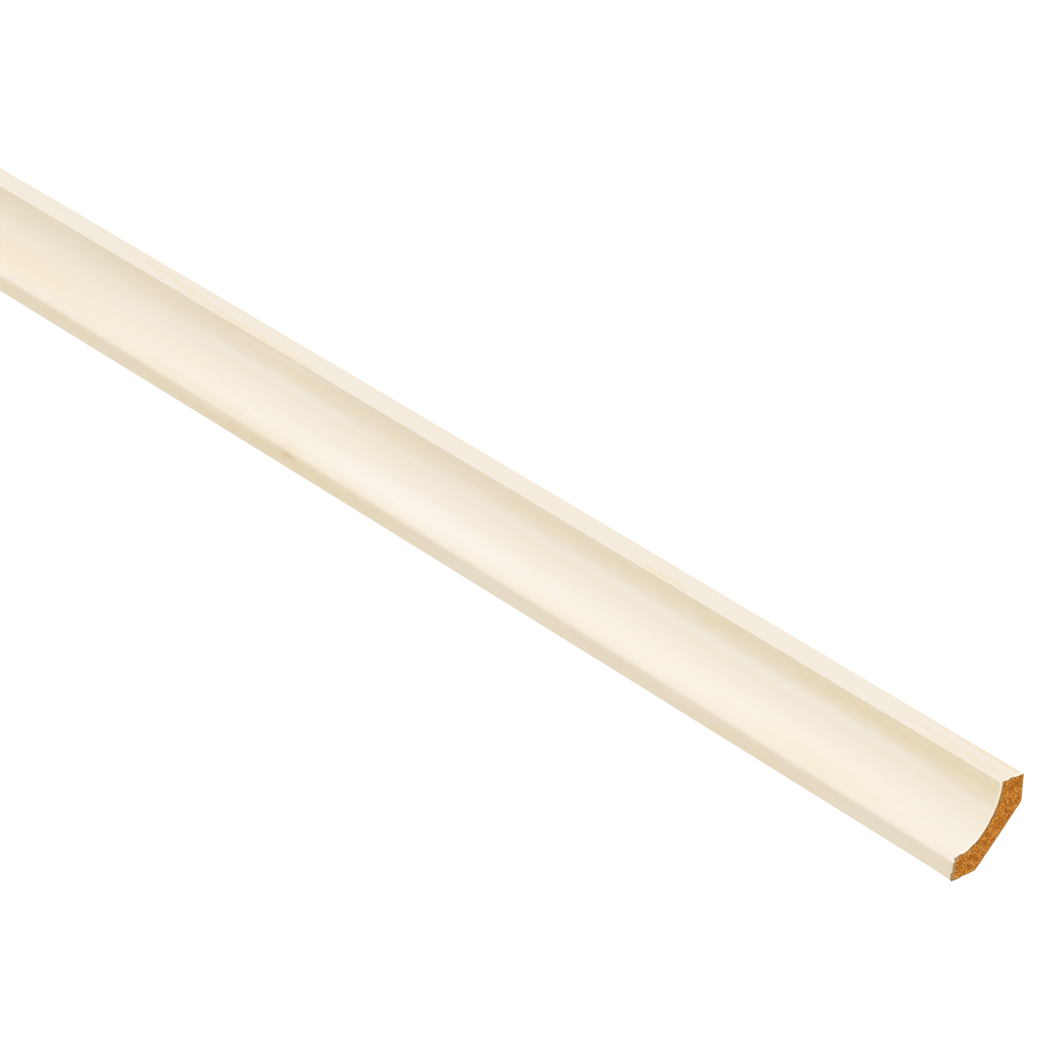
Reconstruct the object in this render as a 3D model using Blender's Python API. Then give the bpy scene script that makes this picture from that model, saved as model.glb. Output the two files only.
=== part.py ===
"""Crown moulding piece: one length of small cove moulding in pale timber, sawn square at both ends.

The moulding runs along X, and its nearer sawn end is the one at +X. The flat that meets the wall
faces +Y and the flat that meets the ceiling faces -Z, so the cove opens to the front and upwards:
the piece is shown turned over, with its ceiling side down. The origin is at the centre of the flat
that meets the wall. All sizes are in metres.
"""
import math

import bmesh
import bpy
from mathutils import Matrix, Vector

# Sizes of the moulding: its length, its height against the wall, its depth along the ceiling, and
# the two flats that meet them
LENGTH = 0.6096
HEIGHT = 0.0314
DEPTH = 0.0314
WALL_LAND = 0.0111
CEILING_LAND = 0.0111

# Sizes of the moulded front: the flat beside each land, and how far the cove sinks below a
# straightedge laid over the two
WALL_FILLET = 0.0104
CEILING_FILLET = 0.0078
COVE_DEPTH = 0.0061

# Radii on the edges: the planed arrises of the front, and the two corners of the bevelled back
ARRIS_RADIUS = 0.0003
WALL_HEEL_RADIUS = 0.0020
CEILING_HEEL_RADIUS = 0.0025

# Fineness of the round stretches
COVE_STEPS = 48
CORNER_STEPS = 6
WELD_DISTANCE = 0.000001
SHARP_ANGLE = math.radians(30)

# Colours as linear red, green, blue and alpha
PLANED_COLOUR = (0.87, 0.79, 0.64, 1.0)
SAWN_COLOUR = (0.48, 0.20, 0.04, 1.0)
PLANED_ROUGHNESS = 0.55
SAWN_ROUGHNESS = 0.9


def clear_scene():
    """Remove whatever the open file holds."""
    for obj in list(bpy.data.objects):
        bpy.data.objects.remove(obj, do_unlink=True)


def make_material(name, colour, roughness):
    """A plain Principled material."""
    material = bpy.data.materials.new(name)
    material.use_nodes = True
    shader = material.node_tree.nodes["Principled BSDF"]
    shader.inputs["Base Color"].default_value = colour
    shader.inputs["Roughness"].default_value = roughness
    shader.inputs["Metallic"].default_value = 0.0
    return material


def arc_points(centre, start, end, steps):
    """Points from start to end, both included, along the shorter arc about centre."""
    arm = start - centre
    # The signed angle of two flat vectors counts a clockwise turn as positive.
    turn = -arm.angle_signed(end - centre)
    return [centre + Matrix.Rotation(turn * step / steps, 2) @ arm for step in range(steps + 1)]


def cove_points(start, end):
    """Points of the cove between its two ends, which are left out.

    The arc is the one that sinks COVE_DEPTH below the straight line from start to end.
    """
    chord = end - start
    half = chord.length / 2
    radius = (half * half + COVE_DEPTH * COVE_DEPTH) / (2 * COVE_DEPTH)
    outward = Vector((-chord.y, chord.x)).normalized()
    centre = (start + end) / 2 + outward * (radius - COVE_DEPTH)
    return arc_points(centre, start, end, COVE_STEPS)[1:-1]


def rounded(before, corner, after, radius):
    """Points of a round corner, no larger than its two edges have room for."""
    back = before - corner
    ahead = after - corner
    half_angle = back.angle(ahead) / 2
    reach = min(radius / math.tan(half_angle), back.length / 2, ahead.length / 2)
    inward = (back.normalized() + ahead.normalized()).normalized()
    centre = corner + inward * (reach / math.cos(half_angle))
    start = corner + back.normalized() * reach
    end = corner + ahead.normalized() * reach
    return arc_points(centre, start, end, CORNER_STEPS)


def section_outline():
    """The moulding's section as (y, z) points, going round from its lowest front edge.

    y is 0 on the wall and negative to the front, and z is 0 halfway up the land on the wall.
    """
    front = -DEPTH
    top = WALL_LAND / 2
    bottom = top - HEIGHT
    cove_start = Vector((front, bottom + CEILING_FILLET))
    cove_end = Vector((-WALL_FILLET, top))
    cove = cove_points(cove_start, cove_end)
    foot = Vector((front, bottom))
    crest = Vector((0.0, top))
    wall_heel = Vector((0.0, top - WALL_LAND))
    ceiling_heel = Vector((front + CEILING_LAND, bottom))
    return [
        *rounded(ceiling_heel, foot, cove_start, ARRIS_RADIUS),
        *rounded(foot, cove_start, cove[0], ARRIS_RADIUS),
        *cove,
        *rounded(cove[-1], cove_end, crest, ARRIS_RADIUS),
        *rounded(cove_end, crest, wall_heel, ARRIS_RADIUS),
        *rounded(crest, wall_heel, ceiling_heel, WALL_HEEL_RADIUS),
        *rounded(wall_heel, ceiling_heel, foot, CEILING_HEEL_RADIUS),
    ]


def extruded_length(name, outline):
    """The outline as a flat curve, drawn out half the length each way along X."""
    curve = bpy.data.curves.new(name, "CURVE")
    curve.dimensions = "2D"
    curve.fill_mode = "BOTH"
    curve.extrude = LENGTH / 2
    spline = curve.splines.new("POLY")
    spline.points.add(len(outline) - 1)
    for point, place in zip(spline.points, outline):
        point.co = (place.x, place.y, 0.0, 1.0)
    spline.use_cyclic_u = True
    obj = bpy.data.objects.new(name, curve)
    # The curve's own X, Y and Z come to lie along the part's Y, Z and X.
    obj.rotation_euler = (math.pi / 2, 0.0, math.pi / 2)
    return obj


def as_solid_mesh(obj, collection):
    """Turn the curve object into one closed mesh object of the same name and place."""
    collection.objects.link(obj)
    bpy.context.view_layer.update()
    graph = bpy.context.evaluated_depsgraph_get()
    mesh = bpy.data.meshes.new_from_object(obj.evaluated_get(graph))
    shape = bmesh.new()
    shape.from_mesh(mesh)
    bmesh.ops.remove_doubles(shape, verts=shape.verts, dist=WELD_DISTANCE)
    bmesh.ops.recalc_face_normals(shape, faces=shape.faces)
    shape.to_mesh(mesh)
    shape.free()
    name = obj.name
    place = obj.matrix_world.copy()
    bpy.data.objects.remove(obj, do_unlink=True)
    solid = bpy.data.objects.new(name, mesh)
    solid.matrix_world = place
    collection.objects.link(solid)
    return solid


def finish_faces(solid, planed, sawn):
    """Smooth the round stretches, and give the two ends the sawn material."""
    mesh = solid.data
    mesh.materials.clear()
    mesh.materials.append(planed)
    mesh.materials.append(sawn)
    mesh.shade_smooth()
    mesh.set_sharp_from_angle(angle=SHARP_ANGLE)
    along = Vector((0.0, 0.0, 1.0))
    for face in mesh.polygons:
        # The curve's own Z runs along the moulding, so an end faces along it and a side across it.
        if abs(face.normal.dot(along)) > math.cos(SHARP_ANGLE):
            face.material_index = 1


def make_moulding():
    """Build the length of moulding in its own collection."""
    collection = bpy.data.collections.new("crown_moulding_piece")
    bpy.context.scene.collection.children.link(collection)
    planed = make_material("planed_timber", PLANED_COLOUR, PLANED_ROUGHNESS)
    sawn = make_material("sawn_end_grain", SAWN_COLOUR, SAWN_ROUGHNESS)
    curve = extruded_length("moulding", section_outline())
    solid = as_solid_mesh(curve, collection)
    finish_faces(solid, planed, sawn)
    return solid


clear_scene()
make_moulding()
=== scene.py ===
"""Looks of one length of small cove crown moulding in pale bare timber, with rough sawn ends.

The moulding runs along X with its wall flat on y = 0 and facing +Y. The section is drawn out into a
fine solid, its sawn ends are torn and saw-marked, and small splinters stand at their rims. Lengths
are in metres, and names that end in _mm hold millimetres.
"""
from __future__ import annotations

import logging
import math
import random
from collections.abc import Mapping, Sequence
from dataclasses import dataclass, field
from enum import Enum

import bmesh
import bpy
import numpy as np
from mathutils import Euler, Matrix, Vector, noise


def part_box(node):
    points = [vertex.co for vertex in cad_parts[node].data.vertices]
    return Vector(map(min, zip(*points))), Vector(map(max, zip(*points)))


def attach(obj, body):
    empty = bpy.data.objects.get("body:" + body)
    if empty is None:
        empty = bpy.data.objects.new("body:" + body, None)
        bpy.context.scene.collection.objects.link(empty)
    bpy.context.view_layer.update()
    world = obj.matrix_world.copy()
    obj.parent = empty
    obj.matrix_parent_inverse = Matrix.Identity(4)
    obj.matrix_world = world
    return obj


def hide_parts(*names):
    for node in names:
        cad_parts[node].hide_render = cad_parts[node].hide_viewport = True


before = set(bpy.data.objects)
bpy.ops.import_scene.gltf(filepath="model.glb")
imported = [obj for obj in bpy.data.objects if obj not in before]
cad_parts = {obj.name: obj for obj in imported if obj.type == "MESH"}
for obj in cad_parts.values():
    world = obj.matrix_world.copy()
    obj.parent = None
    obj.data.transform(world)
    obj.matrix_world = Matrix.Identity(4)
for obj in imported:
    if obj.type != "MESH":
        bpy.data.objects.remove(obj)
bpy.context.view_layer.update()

LOG = logging.getLogger("crown_moulding")
MM = 0.001
BODY = "root"
NODE = "moulding"

Feed = bpy.types.NodeSocket | float | int | bool | str | tuple | bpy.types.ID | None


class NodeBench:
    """A node tree with short ways to lay and link its nodes."""

    def __init__(self, tree: bpy.types.NodeTree) -> None:
        """Start on an empty tree.

        Args:
            tree: the geometry or shader tree to fill.
        """
        self.tree = tree
        tree.nodes.clear()

    def feed(self, socket: bpy.types.NodeSocket, value: Feed) -> None:
        """Link a socket to another one, or set its value.

        Args:
            socket: the input socket.
            value: an output socket, or a plain value.
        """
        if isinstance(value, bpy.types.NodeSocket):
            self.tree.links.new(value, socket)
        elif value is not None:
            socket.default_value = value

    def put(
        self, kind: str, feeds: Mapping[str | int, Feed] | None = None, **settings: object
    ) -> bpy.types.Node:
        """Lay one node.

        Args:
            kind: the node's type name.
            feeds: its inputs, by socket name or number.
            settings: its properties.

        Returns:
            The new node.
        """
        node = self.tree.nodes.new(kind)
        for name, value in settings.items():
            setattr(node, name, value)
        for key, value in (feeds or {}).items():
            self.feed(node.inputs[key], value)
        return node

    def math(self, operation: str, *values: Feed, clamp: bool = False) -> bpy.types.NodeSocket:
        """A Math node's result.

        Args:
            operation: the node's operation.
            values: its one to three inputs.
            clamp: whether the result stays between 0 and 1.

        Returns:
            The output socket.
        """
        return self.put(
            "ShaderNodeMath", dict(enumerate(values)), operation=operation, use_clamp=clamp
        ).outputs[0]

    def vector(self, operation: str, *values: Feed) -> bpy.types.NodeSocket:
        """A Vector Math node's vector result.

        Args:
            operation: the node's operation.
            values: its inputs, in their order.

        Returns:
            The output socket.
        """
        return self.put(
            "ShaderNodeVectorMath", dict(enumerate(values)), operation=operation
        ).outputs[0]

    def ramp(self, value: Feed, start: float, end: float) -> bpy.types.NodeSocket:
        """A smooth step from 0 at start to 1 at end, or down again where end is lower.

        Args:
            value: the number to map.
            start: where the result is 0.
            end: where the result is 1.

        Returns:
            The output socket, between 0 and 1.
        """
        low, high = (start, end) if start < end else (end, start)
        results = (0.0, 1.0) if start < end else (1.0, 0.0)
        return self.put(
            "ShaderNodeMapRange",
            {"Value": value, "From Min": low, "From Max": high,
             "To Min": results[0], "To Max": results[1]},
            interpolation_type="SMOOTHSTEP",
        ).outputs[0]

    def blend(self, amount: Feed, first: Feed, second: Feed) -> bpy.types.NodeSocket:
        """The colour between two colours.

        Args:
            amount: 0 for the first colour and 1 for the second.
            first: a colour or its socket.
            second: a colour or its socket.

        Returns:
            The output socket.
        """
        node = self.put("ShaderNodeMix", {0: amount, 6: first, 7: second}, data_type="RGBA")
        return node.outputs[2]

    def blotch(
        self, place: Feed, spread: tuple[float, float, float], detail: float = 2.0, seed: float = 0.0
    ) -> bpy.types.NodeSocket:
        """Soft noise whose blotches measure about spread, in the units of place.

        Args:
            place: the coordinates.
            spread: the blotches' size along X, Y and Z.
            detail: how many finer layers it has.
            seed: a shift that gives another pattern.

        Returns:
            The output socket, between 0 and 1.
        """
        inverse = tuple(1.0 / size for size in spread)
        scaled = self.vector("MULTIPLY", place, inverse)
        moved = self.vector("ADD", scaled, (seed, seed * 1.7, seed * 0.6))
        return self.put(
            "ShaderNodeTexNoise", {"Vector": moved, "Scale": 1.0, "Detail": detail}
        ).outputs[0]


@dataclass(frozen=True)
class Section:
    """The moulding's section: y is 0 on the wall and z is 0 halfway up the flat that meets it."""

    height: float
    depth: float
    wall_land: float = 11.1 * MM
    ceiling_land: float = 11.1 * MM
    wall_fillet: float = 10.4 * MM
    ceiling_fillet: float = 7.8 * MM
    cove_sinking: float = 6.1 * MM
    arris_radius: float = 0.3 * MM
    nose_radius: float = 1.4 * MM
    brow_radius: float = 0.4 * MM
    wall_heel_radius: float = 2.0 * MM
    ceiling_heel_radius: float = 2.5 * MM
    cove_steps: int = 84
    arris_steps: int = 4
    heel_steps: int = 6
    leg_steps: int = 58

    @property
    def top(self) -> float:
        """Height of the wall fillet, which faces up."""
        return self.wall_land / 2

    @property
    def bottom(self) -> float:
        """Height of the flat that meets the ceiling, which faces down."""
        return self.top - self.height

    @staticmethod
    def _arc(centre: Vector, start: Vector, end: Vector, steps: int) -> list[Vector]:
        """Points on the shorter arc from start up to, but without, end.

        Args:
            centre: the arc's centre.
            start: its first point.
            end: its last point.
            steps: how many points are returned.

        Returns:
            The points.
        """
        arm = start - centre
        turn = -arm.angle_signed(end - centre)
        return [centre + Matrix.Rotation(turn * step / steps, 2) @ arm for step in range(steps)]

    @staticmethod
    def _straight(start: Vector, end: Vector, steps: int) -> list[Vector]:
        """Points from start up to, but without, end.

        Args:
            start: the first point.
            end: the last point.
            steps: how many points are returned.

        Returns:
            The points.
        """
        return [start.lerp(end, step / steps) for step in range(steps)]

    @staticmethod
    def _corner(
        before: Vector, corner: Vector, after: Vector, radius: float
    ) -> tuple[Vector, Vector, Vector]:
        """Centre, start and end of the round on a corner.

        Args:
            before: a point on the edge that comes in.
            corner: the sharp corner.
            after: a point on the edge that goes out.
            radius: the round's radius.

        Returns:
            The centre, the start and the end.
        """
        back = (before - corner).normalized()
        ahead = (after - corner).normalized()
        half_angle = back.angle(ahead) / 2
        reach = radius / math.tan(half_angle)
        centre = corner + (back + ahead).normalized() * (reach / math.cos(half_angle))
        return centre, corner + back * reach, corner + ahead * reach

    def outline(self) -> list[Vector]:
        """The whole outline, from the foot of the cove round to it again.

        Returns:
            cove_steps points up the cove, leg_steps round the wall leg, cove_steps down the bevel
            and leg_steps round the ceiling leg.
        """
        front = -self.depth
        cove_start = Vector((front, self.bottom + self.ceiling_fillet))
        cove_end = Vector((-self.wall_fillet, self.top))
        foot = Vector((front, self.bottom))
        crest = Vector((0.0, self.top))
        wall_heel = Vector((0.0, self.top - self.wall_land))
        ceiling_heel = Vector((front + self.ceiling_land, self.bottom))

        half = (cove_end - cove_start).length / 2
        radius = (half**2 + self.cove_sinking**2) / (2 * self.cove_sinking)
        chord = (cove_end - cove_start).normalized()
        hub = (cove_start + cove_end) / 2 + Vector((-chord.y, chord.x)) * (radius - self.cove_sinking)
        leaving = Vector((-(cove_start - hub).y, (cove_start - hub).x))
        coming = Vector(((cove_end - hub).y, -(cove_end - hub).x))

        nose = self._corner(foot, cove_start, cove_start + leaving, self.nose_radius)
        brow = self._corner(cove_end + coming, cove_end, crest, self.brow_radius)
        crest_round = self._corner(cove_end, crest, wall_heel, self.arris_radius)
        wall_round = self._corner(crest, wall_heel, ceiling_heel, self.wall_heel_radius)
        ceiling_round = self._corner(wall_heel, ceiling_heel, foot, self.ceiling_heel_radius)
        foot_round = self._corner(ceiling_heel, foot, cove_start, self.arris_radius)

        flats = self.leg_steps - 2 * self.arris_steps - self.heel_steps
        wall_flat = round(flats * self.wall_land / (self.wall_land + self.wall_fillet))
        ceiling_flat = round(flats * self.ceiling_land / (self.ceiling_land + self.ceiling_fillet))
        return [
            *self._arc(hub, nose[2], brow[1], self.cove_steps),
            *self._arc(*brow, self.arris_steps),
            *self._straight(brow[2], crest_round[1], flats - wall_flat),
            *self._arc(*crest_round, self.arris_steps),
            *self._straight(crest_round[2], wall_round[1], wall_flat),
            *self._arc(*wall_round, self.heel_steps),
            *self._straight(wall_round[2], ceiling_round[1], self.cove_steps),
            *self._arc(*ceiling_round, self.heel_steps),
            *self._straight(ceiling_round[2], foot_round[1], ceiling_flat),
            *self._arc(*foot_round, self.arris_steps),
            *self._straight(foot_round[2], nose[1], flats - ceiling_flat),
            *self._arc(*nose, self.arris_steps),
        ]


class Face(Enum):
    """The kinds of surface on the moulding, with the names of their materials."""

    PLANED = "planed_timber"
    BACK = "bevelled_back"
    SAWN = "sawn_end_grain"
    SPLINTER = "torn_splinter"


@dataclass(frozen=True)
class TimberFigure:
    """How the timber has grown, as one solid pattern that every cut through it shows."""

    pith_y_mm: float = -64.0
    pith_z_mm: float = -78.0
    ring_spacing_mm: float = 3.4
    ring_wander_mm: float = 2.6
    ring_slope: float = 0.022

    def group(self) -> bpy.types.NodeTree:
        """Build the shader group that puts out the figure's masks.

        Returns:
            The group, with Place in metres as its input and Rings, Streaks, Mottle, Pores and
            Cells as its outputs.
        """
        tree = bpy.data.node_groups.new("timber_figure", "ShaderNodeTree")
        tree.interface.new_socket("Place", in_out="INPUT", socket_type="NodeSocketVector")
        spacing = tree.interface.new_socket("Ring Spacing", in_out="INPUT", socket_type="NodeSocketFloat")
        spacing.default_value = self.ring_spacing_mm
        for name in ("Rings", "Streaks", "Mottle", "Pores", "Cells"):
            tree.interface.new_socket(name, in_out="OUTPUT", socket_type="NodeSocketFloat")
        bench = NodeBench(tree)
        given = bench.put("NodeGroupInput")
        place = bench.vector("MULTIPLY", given.outputs["Place"], (1 / MM,) * 3)
        along, across, up = bench.put("ShaderNodeSeparateXYZ", {0: place}).outputs

        wander = bench.blotch(place, (170.0, 22.0, 22.0), detail=2.0, seed=3.1)
        wander = bench.math("MULTIPLY_ADD", wander, 2 * self.ring_wander_mm, -self.ring_wander_mm)
        side = bench.math("SUBTRACT", across, self.pith_y_mm)
        rise = bench.math("SUBTRACT", up, self.pith_z_mm)
        square = bench.math("MULTIPLY_ADD", side, side, bench.math("MULTIPLY", rise, rise))
        radius = bench.math("ADD", bench.math("SQRT", square), wander)
        radius = bench.math("MULTIPLY_ADD", along, self.ring_slope, radius)
        years = bench.math("DIVIDE", radius, given.outputs["Ring Spacing"])
        season = bench.math("FRACT", years)
        late = bench.math("MULTIPLY", bench.ramp(season, 0.35, 0.93), bench.ramp(season, 1.0, 0.95))
        year = bench.put("ShaderNodeTexWhiteNoise", {"W": bench.math("FLOOR", years)}, noise_dimensions="1D")
        strength = bench.math("MULTIPLY_ADD", year.outputs["Value"], 0.7, 0.3)
        rings = bench.math("MULTIPLY", late, strength)

        streaks = bench.blotch(place, (46.0, 0.75, 0.75), detail=4.0, seed=7.7)
        mottle = bench.blotch(place, (52.0, 9.0, 9.0), detail=3.0, seed=12.3)
        pores = bench.ramp(bench.blotch(place, (2.6, 0.16, 0.16), detail=1.0, seed=1.9), 0.62, 0.74)
        cells = bench.blotch(place, (2.2, 0.8, 0.8), detail=5.0, seed=21.4)
        bench.put("NodeGroupOutput", {
            "Rings": rings, "Streaks": bench.ramp(streaks, 0.3, 0.72),
            "Mottle": bench.ramp(mottle, 0.28, 0.72), "Pores": pores, "Cells": cells,
        })
        return tree


WARM = (0.755, 0.642, 0.435, 1.0)
COOL = (0.790, 0.745, 0.670, 1.0)
TAN = (0.62, 0.40, 0.17, 1.0)
# Painted shade: a neutral darker colour for the light falling off over the lower cove at the near end.
FALLOFF_SHADE = (0.710, 0.645, 0.535, 1.0)


@dataclass(frozen=True)
class ToneAndShadeDrift:
    """A soft patch of another tone, drawn out along the timber and leaning a little across it. Most are tones of the
    timber; some are painted shade and some painted light, where they follow how light falls on the cove.
    """

    place_mm: tuple[float, float, float]
    spread_mm: tuple[float, float, float]
    strength: float
    colour: tuple[float, float, float, float] = WARM
    lean: float = 0.0
    ragged: float = 0.35
    grain_mm: tuple[float, float, float] = (14.0, 2.2, 2.2)

    def mask(self, bench: NodeBench, millimetres: Feed) -> bpy.types.NodeSocket:
        """How much of the other tone each place takes.

        Args:
            bench: the tree that is being filled.
            millimetres: the coordinates.

        Returns:
            The output socket, from 0 to the drift's strength.
        """
        offset = bench.vector("SUBTRACT", millimetres, self.place_mm)
        if self.lean:
            along = bench.put("ShaderNodeSeparateXYZ", {0: offset}).outputs[0]
            slide = bench.put("ShaderNodeCombineXYZ", {1: bench.math("MULTIPLY", along, self.lean)})
            offset = bench.vector("SUBTRACT", offset, slide.outputs[0])
        offset = bench.vector("DIVIDE", offset, self.spread_mm)
        reach = bench.put("ShaderNodeVectorMath", {0: offset}, operation="LENGTH").outputs["Value"]
        uneven = bench.blotch(millimetres, self.grain_mm, detail=3.0, seed=self.place_mm[0] / 10)
        reach = bench.math("MULTIPLY_ADD", uneven, 2 * self.ragged, bench.math("SUBTRACT", reach, self.ragged))
        return bench.math("MULTIPLY", bench.ramp(reach, 1.0, 0.0), self.strength)


@dataclass(frozen=True)
class PlanedFinish:
    """A planed face of the timber: pale, with faint figure, soft drifts of tone, some drifts of painted shade and
    painted light on the cove, painted shade low on the front fillet, and paler fuzz with a painted highlight at the
    sawn ends.
    """

    face: Face
    early: tuple[float, float, float, float]
    late: tuple[float, float, float, float]
    warm: tuple[float, float, float, float]
    # Colour of the paler fuzz and its painted highlight along the arris at the sawn ends.
    fuzz_highlight: tuple[float, float, float, float]
    roughness: float
    knife_pitch_mm: float
    knife_height: float
    drifts: Sequence[ToneAndShadeDrift] = ()
    fringe: tuple[float, float, float, float] = (0.62, 0.40, 0.19, 1.0)
    fringe_width: float = 0.75 * MM
    fuzz_highlight_width: float = 1.2 * MM
    fuzz_highlight_strength: float = 0.75
    # Strength of the painted shade low on the front fillet.
    fillet_shade: float = 0.3
    fillet_from_mm: float = -19.5
    fillet_to_mm: float = -16.2
    figure_depth: float = 0.11

    def material(self, figure: bpy.types.NodeTree) -> bpy.types.Material:
        """Build the material.

        Args:
            figure: the shader group of the timber's figure.

        Returns:
            The material, named for its face.
        """
        made = bpy.data.materials.new(self.face.value)
        made.use_nodes = True
        bench = NodeBench(made.node_tree)
        place = bench.put("ShaderNodeTexCoord").outputs["Object"]
        grown = bench.put("ShaderNodeGroup", {}, node_tree=figure)
        bench.feed(grown.inputs["Place"], place)
        millimetres = bench.vector("MULTIPLY", place, (1 / MM,) * 3)

        figured = bench.math("MULTIPLY", grown.outputs["Rings"], 1.1 * self.figure_depth)
        figured = bench.math("MULTIPLY_ADD", grown.outputs["Streaks"], self.figure_depth, figured)
        figured = bench.math("MULTIPLY_ADD", grown.outputs["Cells"], 1.2 * self.figure_depth, figured)
        figured = bench.math(
            "MULTIPLY_ADD", grown.outputs["Pores"], 0.8 * self.figure_depth, figured, clamp=True
        )
        colour = bench.blend(figured, self.early, self.late)
        colour = bench.blend(grown.outputs["Mottle"], colour, self.warm)
        for drift in self.drifts:
            colour = bench.blend(drift.mask(bench, millimetres), colour, drift.colour)

        gap = bench.put("ShaderNodeAttribute", attribute_name="end_gap").outputs["Fac"]
        along, _, up = bench.put("ShaderNodeSeparateXYZ", {0: millimetres}).outputs
        # Painted shade: below the top of the lower fillet the colour is drawn towards the latewood colour, fading out
        # up to the foot of the cove, where the front-facing fillet takes less light.
        upper = bench.ramp(up, self.fillet_from_mm, self.fillet_to_mm)
        painted_fillet_shade = bench.math("MULTIPLY_ADD", upper, -self.fillet_shade, self.fillet_shade)
        colour = bench.blend(painted_fillet_shade, colour, self.late)
        # Paler torn fuzz and a painted highlight along the arris where the planed face meets the sawn end, on the upper
        # faces only.
        fuzz_highlit = bench.math("MULTIPLY", bench.ramp(gap, self.fuzz_highlight_width, self.fuzz_highlight_width * 0.6), upper)
        colour = bench.blend(bench.math("MULTIPLY", fuzz_highlit, self.fuzz_highlight_strength), colour, self.fuzz_highlight)
        uneven = bench.blotch(millimetres, (1.4, 0.8, 0.8), detail=3.0, seed=17.0)
        frayed = bench.math("MULTIPLY_ADD", uneven, 2.4 * self.fringe_width, gap)
        fringed = bench.ramp(frayed, 2.0 * self.fringe_width, 1.0 * self.fringe_width)
        fringed = bench.math("MULTIPLY", fringed, bench.math("MULTIPLY_ADD", upper, -0.7, 1.0))
        colour = bench.blend(fringed, colour, self.fringe)

        turn = bench.math("MULTIPLY", along, 2 * math.pi / self.knife_pitch_mm)
        knife = bench.math("MULTIPLY", bench.math("COSINE", turn), self.knife_height)
        grain = bench.math("MULTIPLY_ADD", grown.outputs["Streaks"], 0.35, knife)
        sunk = bench.math("MULTIPLY", grown.outputs["Pores"], -0.5)
        height = bench.math("ADD", grain, bench.math("MULTIPLY_ADD", grown.outputs["Cells"], 0.5, sunk))
        bump = bench.put("ShaderNodeBump", {"Height": height, "Strength": 0.3, "Distance": 0.03 * MM})
        rough = bench.math("MULTIPLY_ADD", grown.outputs["Streaks"], 0.12, self.roughness)
        shader = bench.put("ShaderNodeBsdfPrincipled", {
            "Base Color": colour, "Roughness": rough, "Normal": bump.outputs[0],
            "Metallic": 0.0, "Specular IOR Level": 0.35,
        })
        bench.put("ShaderNodeOutputMaterial", {"Surface": shader.outputs[0]})
        return made


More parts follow.
